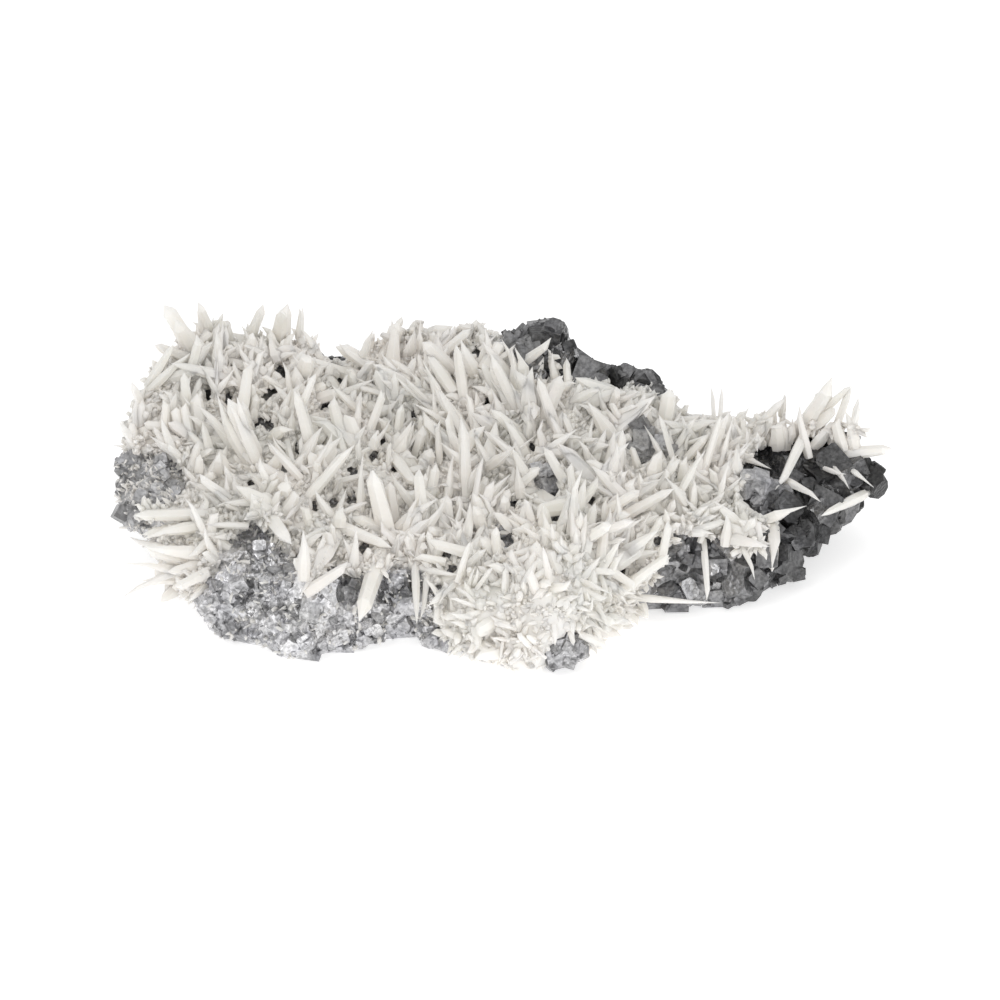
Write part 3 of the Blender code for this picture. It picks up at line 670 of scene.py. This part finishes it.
def make_druse(name, number, tried, at_nose):
    """The fine druse: dense and white on the nose, and between the crystals elsewhere."""
    chance = stream(number)
    roots, normals = crust_sites(tried, chance, furthest=3.6, with_rim=True)
    on_nose = in_nose(roots, grow=1.1)
    kept = on_nose == at_nose
    roots, normals, on_nose = roots[kept], normals[kept], in_nose(roots[kept])
    count = len(roots)
    directions = unit(normals + chance.normal(0, 0.7, (count, 3)))
    lengths = np.where(on_nose, chance.uniform(0.4, 1.3, count), chance.uniform(0.6, 1.9, count))
    widths = np.where(on_nose, chance.uniform(0.7, 1.7, count), chance.uniform(0.8, 1.6, count))
    stand = rooted((roots, directions, lengths, widths), normals, least=0.15)
    stand = clear_of_hollows(fitting(stand, shortest=0.4, under_skyline=False))
    return crystals(name, clear_of_bare(stand, shares=(0.0,), wander=0.0), chance, sides=5)


def make_fringe():
    """Short crystals along the edges of the bare stretches, where the crust ends."""
    per_mm, spread = 10, 1.6
    chance = stream(9)
    roots, normals = [], []
    for outline in BARE_OUTLINES:
        for start, end in edges_of(outline):
            run = np.subtract(end, start)
            for _ in range(int(per_mm * math.hypot(*run))):
                across, up = start + chance.random() * run + chance.normal(0, spread, 2)
                hit, normal, _, depth = seen(CRUST_TREE, across, up)
                galena_depth = seen(GALENA_TREE, across, up)[3]
                if hit is not None and (galena_depth is None or galena_depth > depth):
                    roots.append(hit)
                    normals.append(normal)
    roots, normals = np.array(roots), np.array(normals)
    kept = ~in_bare_stretch(roots)
    roots, normals = roots[kept], normals[kept]
    directions = unit(normals + 0.4 * OUT + chance.normal(0, 0.5, roots.shape))
    stand = scattered(roots, normals, directions, chance, lengths=(0.9, 3.0), widths=(0.8, 1.6))
    stand = clear_of_hollows(fitting(stand, shortest=0.5, under_skyline=False))
    return crystals("quartz_fringe", stand, chance)


def make_crumbs():
    """Single small quartz crystals on the bare galena of the front and the left end."""
    chance = stream(6)
    roots, normals = bare_sites(26000, chance)
    left_end, front_share = -53, 0.22
    kept = (roots[:, 0] < 0) & (roots[:, 1] < 5) & ~in_cavity(roots)
    kept &= (roots[:, 0] < left_end) | (chance.random(len(roots)) < front_share)
    roots, normals = roots[kept], normals[kept]
    directions = unit(normals + chance.normal(0, 0.6, roots.shape))
    stand = scattered(roots, normals, directions, chance, lengths=(0.6, 1.6), widths=(0.4, 0.9), least=0.2)
    return crystals("quartz_crumbs", fitting(stand, shortest=0.4), chance, sides=5)


# ---- galena
def coherent_axes(points, chance, scatter):
    """Axes that neighbours nearly share, because the galena cleaves the same way over a few millimetres."""
    cell = 9.0
    lattice = random_axes(997, chance)
    # Cells draw their axes from the lattice in an order that shows no pattern.
    steps = np.array((73, 157, 311))
    number = (np.floor(points / cell).astype(int) @ steps) % len(lattice)
    rows = lattice[number] + chance.normal(0, scatter, (len(points), 3, 3))
    return right_angled(rows[:, 0], rows[:, 1])


def grain_of(points):
    """Smallest and largest edge of the galena crystals at each place."""
    across, up = on_show_plane(points)
    smallest = np.full(len(points), 0.6)
    largest = np.full(len(points), 1.9)
    zones = (
        # the back, the front of the arm, the arm's end, the ridge and the left end
        (points[:, 1] > 12, 1.0, 2.8),
        ((across > 24) & (up < 24), 1.0, 3.4),
        (across > 46, 1.6, 4.6),
        ((up > 44) & (across > -12), 1.4, 3.8),
        (across < -53, 0.7, 2.0),
    )
    for zone, low, high in zones:
        smallest[zone] = low
        largest[zone] = high
    return smallest, largest


def make_galena_crystals():
    """Small cubes and larger blocks over the bare stretches of the galena."""
    chance = stream(3)
    points, normals = bare_sites(15000, chance)
    smallest, largest = grain_of(points)
    # The coarser the grain, the fewer crystals it takes to cover the galena.
    fine_grain, thinning = 1.5, 1.4
    kept = chance.random(len(points)) < (fine_grain / largest) ** thinning
    kept &= ~in_cavity(points, grow=0.9)
    points, normals, smallest, largest = points[kept], normals[kept], smallest[kept], largest[kept]
    edges = smallest + (largest - smallest) * chance.random(len(points)) ** 2
    across, up = on_show_plane(points)
    on_ridge = (across > RIDGE_LINE[0][0]) & (across < RIDGE_LINE[-1][0]) & (up > 36)
    room = height_of(RIDGE_LINE, across) - up
    # On the ridge they keep under its outline.
    edges_per_room, least_edge = 1.6, 0.5
    edges = np.where(on_ridge, np.clip(room * edges_per_room, least_edge, edges), edges)
    # Near the ground they are small, and above it a few lumps stand out.
    height = points[:, 2]
    edges = np.minimum(edges, 0.3 + 0.7 * height)
    lump_share, lump_ground, least_lump, most_lump = 0.012, 3, 2.0, 3.8
    lumps = (chance.random(len(points)) < lump_share) & (height > lump_ground)
    lump_edges = chance.uniform(least_lump, most_lump, len(points))
    edges = np.where(lumps & (edges < least_lump), lump_edges, edges)
    # None stands far out of the solids' box at the front or the back.
    inside_box = np.minimum(points[:, 1] - LOW[1], HIGH[1] - points[:, 1])
    edges = np.minimum(edges, 0.8 + 1.4 * inside_box)
    # Large ones are sunk deeper than small ones, and those of the arm stand out further.
    deep, shallow, arm_less, arm_start = 0.36, 0.2, 0.14, 24
    sunk = np.where(edges > least_lump, deep, shallow) - np.where(across > arm_start, arm_less, 0.0)
    middles = points - normals * (sunk * edges)[:, None]
    axes = coherent_axes(points, chance, scatter=0.3)
    loose_axes = coherent_axes(points, chance, scatter=0.8)
    block_edge, block_growth = 1.7, 1.15
    large = edges > block_edge
    return (
        cubes("galena_crystals", middles[~large], edges[~large], axes[~large], chance),
        blocks("galena_blocks", middles[large], block_growth * edges[large], loose_axes[large], chance),
    )


def prism_faces(count):
    """The faces of a prism whose upper ring of points comes before its lower one."""
    faces = [tuple(range(count)), tuple(reversed(range(count, 2 * count)))]
    for side in range(count):
        following = (side + 1) % count
        faces.append((side, side + count, following + count, following))
    return faces


def hollow_prism(across, up, width, chance):
    """Points and faces of an uneven plug along the show direction, from above the crust into the galena."""
    sides = 9
    above, below = 14, 0.4
    wider, narrower = 1.25, 0.8
    start = show_point(across, up, FAR)
    top = seen(CRUST_TREE, across, up)[3]
    bottom = seen(GALENA_TREE, across, up)[3]
    if top is None or bottom is None or bottom < top:
        return None
    radii = width / 2 * chance.uniform(0.6, 1.35, sides)
    angles = 2 * math.pi * (np.arange(sides) + chance.uniform(-0.3, 0.3, sides)) / sides
    turn = chance.uniform(0, math.pi)
    stretch = chance.uniform(1.0, 1.7)
    long_way = radii * np.cos(angles) * stretch
    short_way = radii * np.sin(angles) / math.sqrt(stretch)
    rim_across = long_way * math.cos(turn) - short_way * math.sin(turn)
    rim_up = long_way * math.sin(turn) + short_way * math.cos(turn)
    rim = rim_across[:, None] * ACROSS + rim_up[:, None] * UP
    upper = start - (top - above) * OUT + rim * wider
    lower = start - (bottom + below) * OUT + rim * narrower
    return np.concatenate((upper, lower)), prism_faces(sides)


def stretch_prism(outline):
    """Points and faces of a block along the show direction that covers a bare stretch."""
    high, low = 50.0, -12.0
    outs = [out for place in outline if (out := surface_out(*place)) is not None]
    # The outlines run clockwise, and the block's upper face has to run the other way.
    upper = [show_point(*place, max(outs) + high) for place in reversed(outline)]
    lower = [show_point(*place, min(outs) + low) for place in reversed(outline)]
    return np.array(upper + lower), prism_faces(len(outline))


def cutter_of(points, faces):
    """A body to cut with."""
    return linked("cutter", mesh_of("cutter", points, faces))


def cut(name, node, cutters):
    """A copy of a solid with these meshes cut out of it, which replaces the solid."""
    made = linked(name, node.data.copy())
    for cutter in cutters:
        boolean = made.modifiers.new("cut", "BOOLEAN")
        boolean.operation = "DIFFERENCE"
        boolean.object = cutter
        bpy.context.view_layer.update()
        evaluated = made.evaluated_get(bpy.context.evaluated_depsgraph_get())
        made.data = bpy.data.meshes.new_from_object(evaluated)
        made.modifiers.clear()
        bpy.data.objects.remove(cutter)
    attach(made, "root")
    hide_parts(node.name)
    return made


def make_pitted_crust():
    """The crust's solid with the hollows and the bare stretches cut through it, down to the galena."""
    chance = stream(7)
    cutters = []
    for across, up, width in HOLLOWS:
        plug = hollow_prism(across, up, width, chance)
        if plug is not None:
            cutters.append(cutter_of(*plug))
    cutters += [cutter_of(*stretch_prism(outline)) for outline in BARE_OUTLINES]
    made = cut("quartz_pitted_crust", CRUST, cutters)
    # The height above the galena, in centimetres.
    heights = [GALENA_TREE.find_nearest(vertex.co / MM)[3] / 10 for vertex in made.data.vertices]
    give_values(made.data, "height", heights)
    return made


def make_hollowed_galena():
    """The galena's solid with the cavity in its front."""
    across, up, radius = CAVITY
    depth = 0.35 * radius
    middle = show_point(across, up, surface_out(across, up) - depth) * MM
    bpy.ops.mesh.primitive_ico_sphere_add(subdivisions=3, radius=radius * MM, location=middle)
    ball = bpy.context.object
    ball.scale = (0.85, 1.2, 1.15)
    return cut("galena_hollowed_matrix", GALENA, [ball])


def make_hollow_galena(name, shallow):
    """Galena crystals at the bottom of the shallow hollows, or of the deep ones."""
    tree = CRUST_TREE if shallow else GALENA_TREE
    number, count, spread, depth = (10, 16, 0.4, 0.2) if shallow else (4, 7, 0.28, 0.1)
    chance = stream(number)
    middles, edges = [], []
    for across, up, width in HOLLOWS:
        if shallow != (width > SHALLOW_ABOVE):
            continue
        hit = seen(tree, across, up)[0]
        if hit is None:
            continue
        for _ in range(count):
            aside = chance.normal(0, spread * width, 2)
            middles.append(np.array(hit) + aside[0] * ACROSS + aside[1] * UP - depth * width * OUT)
            edges.append(width * chance.uniform(0.38, 0.6))
    axes = random_axes(len(middles), chance)
    return cubes(name, np.array(middles), np.array(edges), axes, chance)


# ---- materials
class Nodes:
    """A material's node tree, with short calls for adding nodes and links."""

    def __init__(self, name):
        self.material = bpy.data.materials.new(name)
        self.material.use_nodes = True
        self.tree = self.material.node_tree
        self.shader = self.tree.nodes["Principled BSDF"]

    def add(self, kind, settings=None, **inputs):
        node = self.tree.nodes.new(kind)
        for key, value in (settings or {}).items():
            setattr(node, key, value)
        for key, value in inputs.items():
            self.put(node, key.replace("_", " "), value)
        return node

    def put(self, node, key, value):
        if isinstance(value, bpy.types.NodeSocket):
            self.tree.links.new(value, node.inputs[key])
        else:
            node.inputs[key].default_value = value

    def place(self):
        return self.add("ShaderNodeTexCoord").outputs["Object"]

    def noise(self, scale, detail=4.0, roughness=0.55):
        inputs = {"Vector": self.place(), "Scale": scale, "Detail": detail, "Roughness": roughness}
        return self.add("ShaderNodeTexNoise", **inputs).outputs["Fac"]

    def ramp(self, value, *stops):
        """A colour ramp over value. Each stop is a position and a colour, or a position and a grey."""
        node = self.add("ShaderNodeValToRGB", Fac=value)
        elements = node.color_ramp.elements
        while len(elements) < len(stops):
            elements.new(0.5)
        for element, (position, colour) in zip(elements, stops):
            element.position = position
            element.color = (colour, colour, colour, 1) if isinstance(colour, float) else (*colour, 1)
        return node.outputs["Color"]

    def blend(self, factor, first, second, way="MIX"):
        node = self.add("ShaderNodeMix", {"data_type": "RGBA", "blend_type": way}, Factor=factor)
        # The node's sockets for colours are its seventh and eighth inputs and its third output.
        self.put(node, 6, first)
        self.put(node, 7, second)
        return node.outputs[2]

    def multiply(self, first, second):
        return self.blend(1.0, first, second, "MULTIPLY")

    def math(self, operation, first, second):
        node = self.add("ShaderNodeMath", {"operation": operation})
        self.put(node, 0, first)
        self.put(node, 1, second)
        return node.outputs["Value"]

    def map(self, value, low, high):
        """The share of the way that value lies from low to high."""
        node = self.add("ShaderNodeMapRange", {"clamp": True}, Value=value, From_Min=low, From_Max=high)
        return node.outputs["Result"]

    def on_nose(self):
        """1 on the nose, and 0 away from it."""
        outer, inner = 0.026, 0.010
        middle = show_point(NOSE[0], NOSE[1] + 3) * MM
        offset = self.add("ShaderNodeVectorMath", {"operation": "SUBTRACT"})
        self.put(offset, 0, self.place())
        self.put(offset, 1, middle)
        length = self.add("ShaderNodeVectorMath", {"operation": "LENGTH"})
        self.put(length, 0, offset.outputs["Vector"])
        return self.map(length.outputs["Value"], outer, inner)

    def attribute(self, name):
        return self.add("ShaderNodeAttribute", {"attribute_name": name}).outputs["Fac"]

    def bump(self, height, strength, distance):
        node = self.add("ShaderNodeBump", Strength=strength, Distance=distance, Height=height)
        return node.outputs["Normal"]

    def set(self, **inputs):
        """Values or sockets of the shader's inputs, with underscores for the spaces in their names."""
        for key, value in inputs.items():
            self.put(self.shader, key.replace("_", " "), value)


def quartz_material(name, root_value, root, top):
    """Milky quartz: white with cloudy patches, with painted shade where root_value is low, from root up to
    top.
    """
    nodes = Nodes(name)
    cloud = nodes.ramp(nodes.noise(230.0), (0.3, (0.925, 0.895, 0.845)), (0.7, (0.975, 0.95, 0.91)))
    # Painted shade: greyer low down, at the crystals' roots and on the crust's skin near the galena. It is
    # partly shade between the crystals and partly the galena's grey under thin quartz.
    rise = nodes.ramp(nodes.attribute(root_value), (root, (0.94, 0.93, 0.915)), (top, (1.0, 1.0, 1.0)))
    on_nose = nodes.on_nose()
    body = nodes.multiply(cloud, rise)
    nose = nodes.ramp(nodes.noise(230.0), (0.3, NOSE_SHADE), (0.6, NOSE_WHITE))
    colour = nodes.blend(on_nose, body, nose)
    # Broad greyer patches at random: painted shade, in place of the soft shade of the crust's valleys.
    painted_shade_patches = nodes.ramp(nodes.noise(90.0, 2.0), (0.36, (0.88, 0.885, 0.87)), (0.6, (1.0, 0.985, 0.975)))
    colour = nodes.multiply(colour, painted_shade_patches)
    if root_value == "rise":
        tones = (0.0, (0.90, 0.895, 0.90)), (0.4, (0.98, 0.98, 0.975)), (1.0, (1.0, 0.995, 0.98))
        tint = nodes.ramp(nodes.attribute("tint"), *tones)
        colour = nodes.multiply(colour, tint)
    roughness = nodes.ramp(nodes.noise(900.0), (0.3, 0.25), (0.75, 0.5))
    fine_bump = nodes.bump(nodes.noise(2200.0, 3.0), strength=0.2, distance=0.2 * MM)
    nodes.set(Base_Color=colour, Roughness=roughness, Normal=fine_bump, IOR=1.55, Specular_IOR_Level=0.45)
    nodes.set(Subsurface_Weight=0.6, Subsurface_Radius=(1.0, 0.96, 0.9), Subsurface_Scale=2 * MM)
    return nodes.material


def galena_material(name, tinted=False, pale=False):
    """Galena: metallic lead grey, brighter at the front left and dark and dull at the right and the back.

    Tinted galena has a tone for each crystal. Pale galena is bright and less metallic wherever it is.
    """
    nodes = Nodes(name)
    place = nodes.add("ShaderNodeSeparateXYZ", Vector=nodes.place())
    wander = nodes.noise(55.0, 2.0)
    across = nodes.math("ADD", place.outputs["X"], nodes.math("MULTIPLY", wander, 0.02))
    if pale:
        rightward = nodes.ramp(across, (0.0, 0.8), (1.0, 0.8))
    else:
        share = nodes.map(across, -0.03, 0.06)
        rightward = nodes.ramp(share, (0.0, 0.93), (0.45, 0.64), (0.75, 0.5), (1.0, 0.16))
    if tinted and not pale:
        # Painted glints: a few crystals get a brighter colour, fainter towards the arm's end.
        glint = nodes.ramp(nodes.attribute("tint"), (0.88, 0.0), (0.94, 0.4))
        glint = nodes.multiply(glint, nodes.ramp(nodes.map(across, 0.03, 0.055), (0.0, 1.0), (1.0, 0.3)))
        rightward = nodes.math("MINIMUM", nodes.math("ADD", rightward, glint), 1.0)
    backward = nodes.ramp(nodes.map(place.outputs["Y"], -0.015, 0.015), (0.0, 1.0), (1.0, 0.4))
    grains = nodes.ramp(nodes.noise(1500.0, 2.0), (0.38, 0.55), (0.6, 1.0))
    colour = nodes.multiply(nodes.multiply(rightward, backward), grains)
    patches = nodes.ramp(nodes.noise(170.0), (0.3, (0.72, 0.72, 0.76)), (0.7, (1.0, 0.99, 0.98)))
    colour = nodes.multiply(colour, patches)
    stains = nodes.ramp(nodes.noise(150.0, 2.0), (0.38, 0.5), (0.5, 1.0))
    colour = nodes.multiply(colour, stains)
    if tinted:
        tint = nodes.ramp(nodes.attribute("tint"), (0.0, 0.4), (0.5, 0.95), (1.0, 1.0))
        colour = nodes.multiply(colour, tint)
    dull = nodes.ramp(nodes.multiply(rightward, backward), (0.1, 0.16), (0.7, 0.0))
    rough = nodes.math("ADD", dull, nodes.ramp(nodes.noise(700.0), (0.3, 0.2), (0.7, 0.42)))
    if tinted:
        shiny = nodes.ramp(nodes.attribute("tint"), (0.84, 1.0), (0.9, 0.5))
        rough = nodes.math("MULTIPLY", rough, shiny)
    # Square cleavage steps.
    squares = {"distance": "CHEBYCHEV", "feature": "F1"}
    steps = nodes.add("ShaderNodeTexVoronoi", squares, Vector=nodes.place(), Scale=1100.0)
    cleavage = nodes.bump(steps.outputs["Distance"], strength=0.5, distance=0.4 * MM)
    metallic = 0.2
    if not pale:
        # The left end is weathered to a pale bloom.
        metallic = nodes.ramp(nodes.map(across, -0.05, -0.036), (0.0, 0.12), (1.0, 0.8))
    nodes.set(Base_Color=colour, Roughness=rough, Normal=cleavage, Metallic=metallic)
    return nodes.material


def dress(piece, material):
    """Gives a piece its material."""
    piece.data.materials.clear()
    piece.data.materials.append(material)


# ---- stage
def make_floor():
    """A wide white floor that glows a little, so that it has no edge in sight."""
    bpy.ops.mesh.primitive_plane_add(size=6.0, location=(0, 0, 0))
    floor = bpy.context.object
    floor.name = "floor"
    nodes = Nodes("floor")
    nodes.set(Base_Color=(0.95, 0.95, 0.95, 1), Roughness=0.45)
    nodes.set(Emission_Color=(1, 1, 1, 1), Emission_Strength=0.5)
    floor.data.materials.append(nodes.material)


def area_light(name, place, size, power):
    """A round light that faces the specimen: place and size in metres, power in watts."""
    data = bpy.data.lights.new(name, "AREA")
    data.shape = "DISK"
    data.size = size
    data.energy = power
    light = linked(name, data)
    light.location = place
    light.rotation_euler = (-Vector(place)).to_track_quat("-Z", "Y").to_euler()


def make_lights():
    """A key from the upper left, softer lights from the other sides, and a white sky."""
    area_light("key", (-0.55, -0.55, 0.85), size=0.6, power=1.9)
    area_light("front", (0.12, -0.85, 0.46), size=0.5, power=1.2)
    area_light("fill", (0.8, -0.6, 0.5), size=0.8, power=1.8)
    area_light("top", (0.0, 0.35, 1.1), size=0.7, power=1.1)
    world = bpy.data.worlds.new("studio")
    bpy.context.scene.world = world
    world.use_nodes = True
    sky = world.node_tree.nodes["Background"]
    sky.inputs["Color"].default_value = (1, 1, 1, 1)
    sky.inputs["Strength"].default_value = 0.59


def make_camera():
    """A long lens at the show elevation, with a view that is frame_width across at the specimen."""
    frame_width = 166.7 * MM
    distance = 0.9
    middle_across, middle_up, middle_out = -0.75, 28.0, -20.0
    data = bpy.data.cameras.new("camera")
    data.sensor_width = 36.0
    data.lens = data.sensor_width * distance / frame_width
    data.clip_start = 0.01
    camera = linked("camera", data)
    target = Vector(show_point(middle_across, middle_up, middle_out)) * MM
    camera.location = target + Vector(OUT) * distance
    camera.rotation_euler = (-Vector(OUT)).to_track_quat("-Z", "Y").to_euler()
    bpy.context.scene.camera = camera


def main():
    """Dresses the solids, makes every piece, and sets the stage."""
    crust_quartz = quartz_material("milky_quartz_crust", "height", root=0.24, top=0.55)
    galena_mass = galena_material("galena_mass")
    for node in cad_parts.values():
        if node is GALENA:
            dress(node, galena_mass)
        else:
            dress(node, crust_quartz)
    dress(make_pitted_crust(), crust_quartz)
    dress(make_hollowed_galena(), galena_mass)
    quartz = quartz_material("milky_quartz_crystals", "rise", root=0.0, top=0.35)
    tall = {"in_each": (3, 7), "longest": (6.5, 12.0), "widest": (1.9, 3.5)}
    low = {"in_each": (3, 6), "longest": (4.2, 8.0), "widest": (1.5, 2.7)}
    for piece in (
        make_blades(),
        make_sprays("quartz_sprays", 0, tried=1400, count=230, shortest=2.0, **tall),
        make_sprays("quartz_small_sprays", 5, tried=2600, count=340, shortest=1.5, **low),
        make_stubs(),
        make_druse("quartz_nose_druse", 2, tried=15000, at_nose=True),
        make_druse("quartz_druse", 11, tried=22000, at_nose=False),
        make_fringe(),
        make_crumbs(),
    ):
        dress(piece, quartz)
    small_galena = galena_material("galena_crystals", tinted=True)
    for piece in (*make_galena_crystals(), make_hollow_galena("galena_in_hollows", shallow=False)):
        dress(piece, small_galena)
    pale_galena = galena_material("pale_galena", tinted=True, pale=True)
    dress(make_hollow_galena("galena_in_shallow_hollows", shallow=True), pale_galena)
    make_floor()
    make_lights()
    make_camera()
    bpy.context.scene.view_settings.view_transform = "Standard"
    bpy.context.scene.view_settings.gamma = 1.18


main()
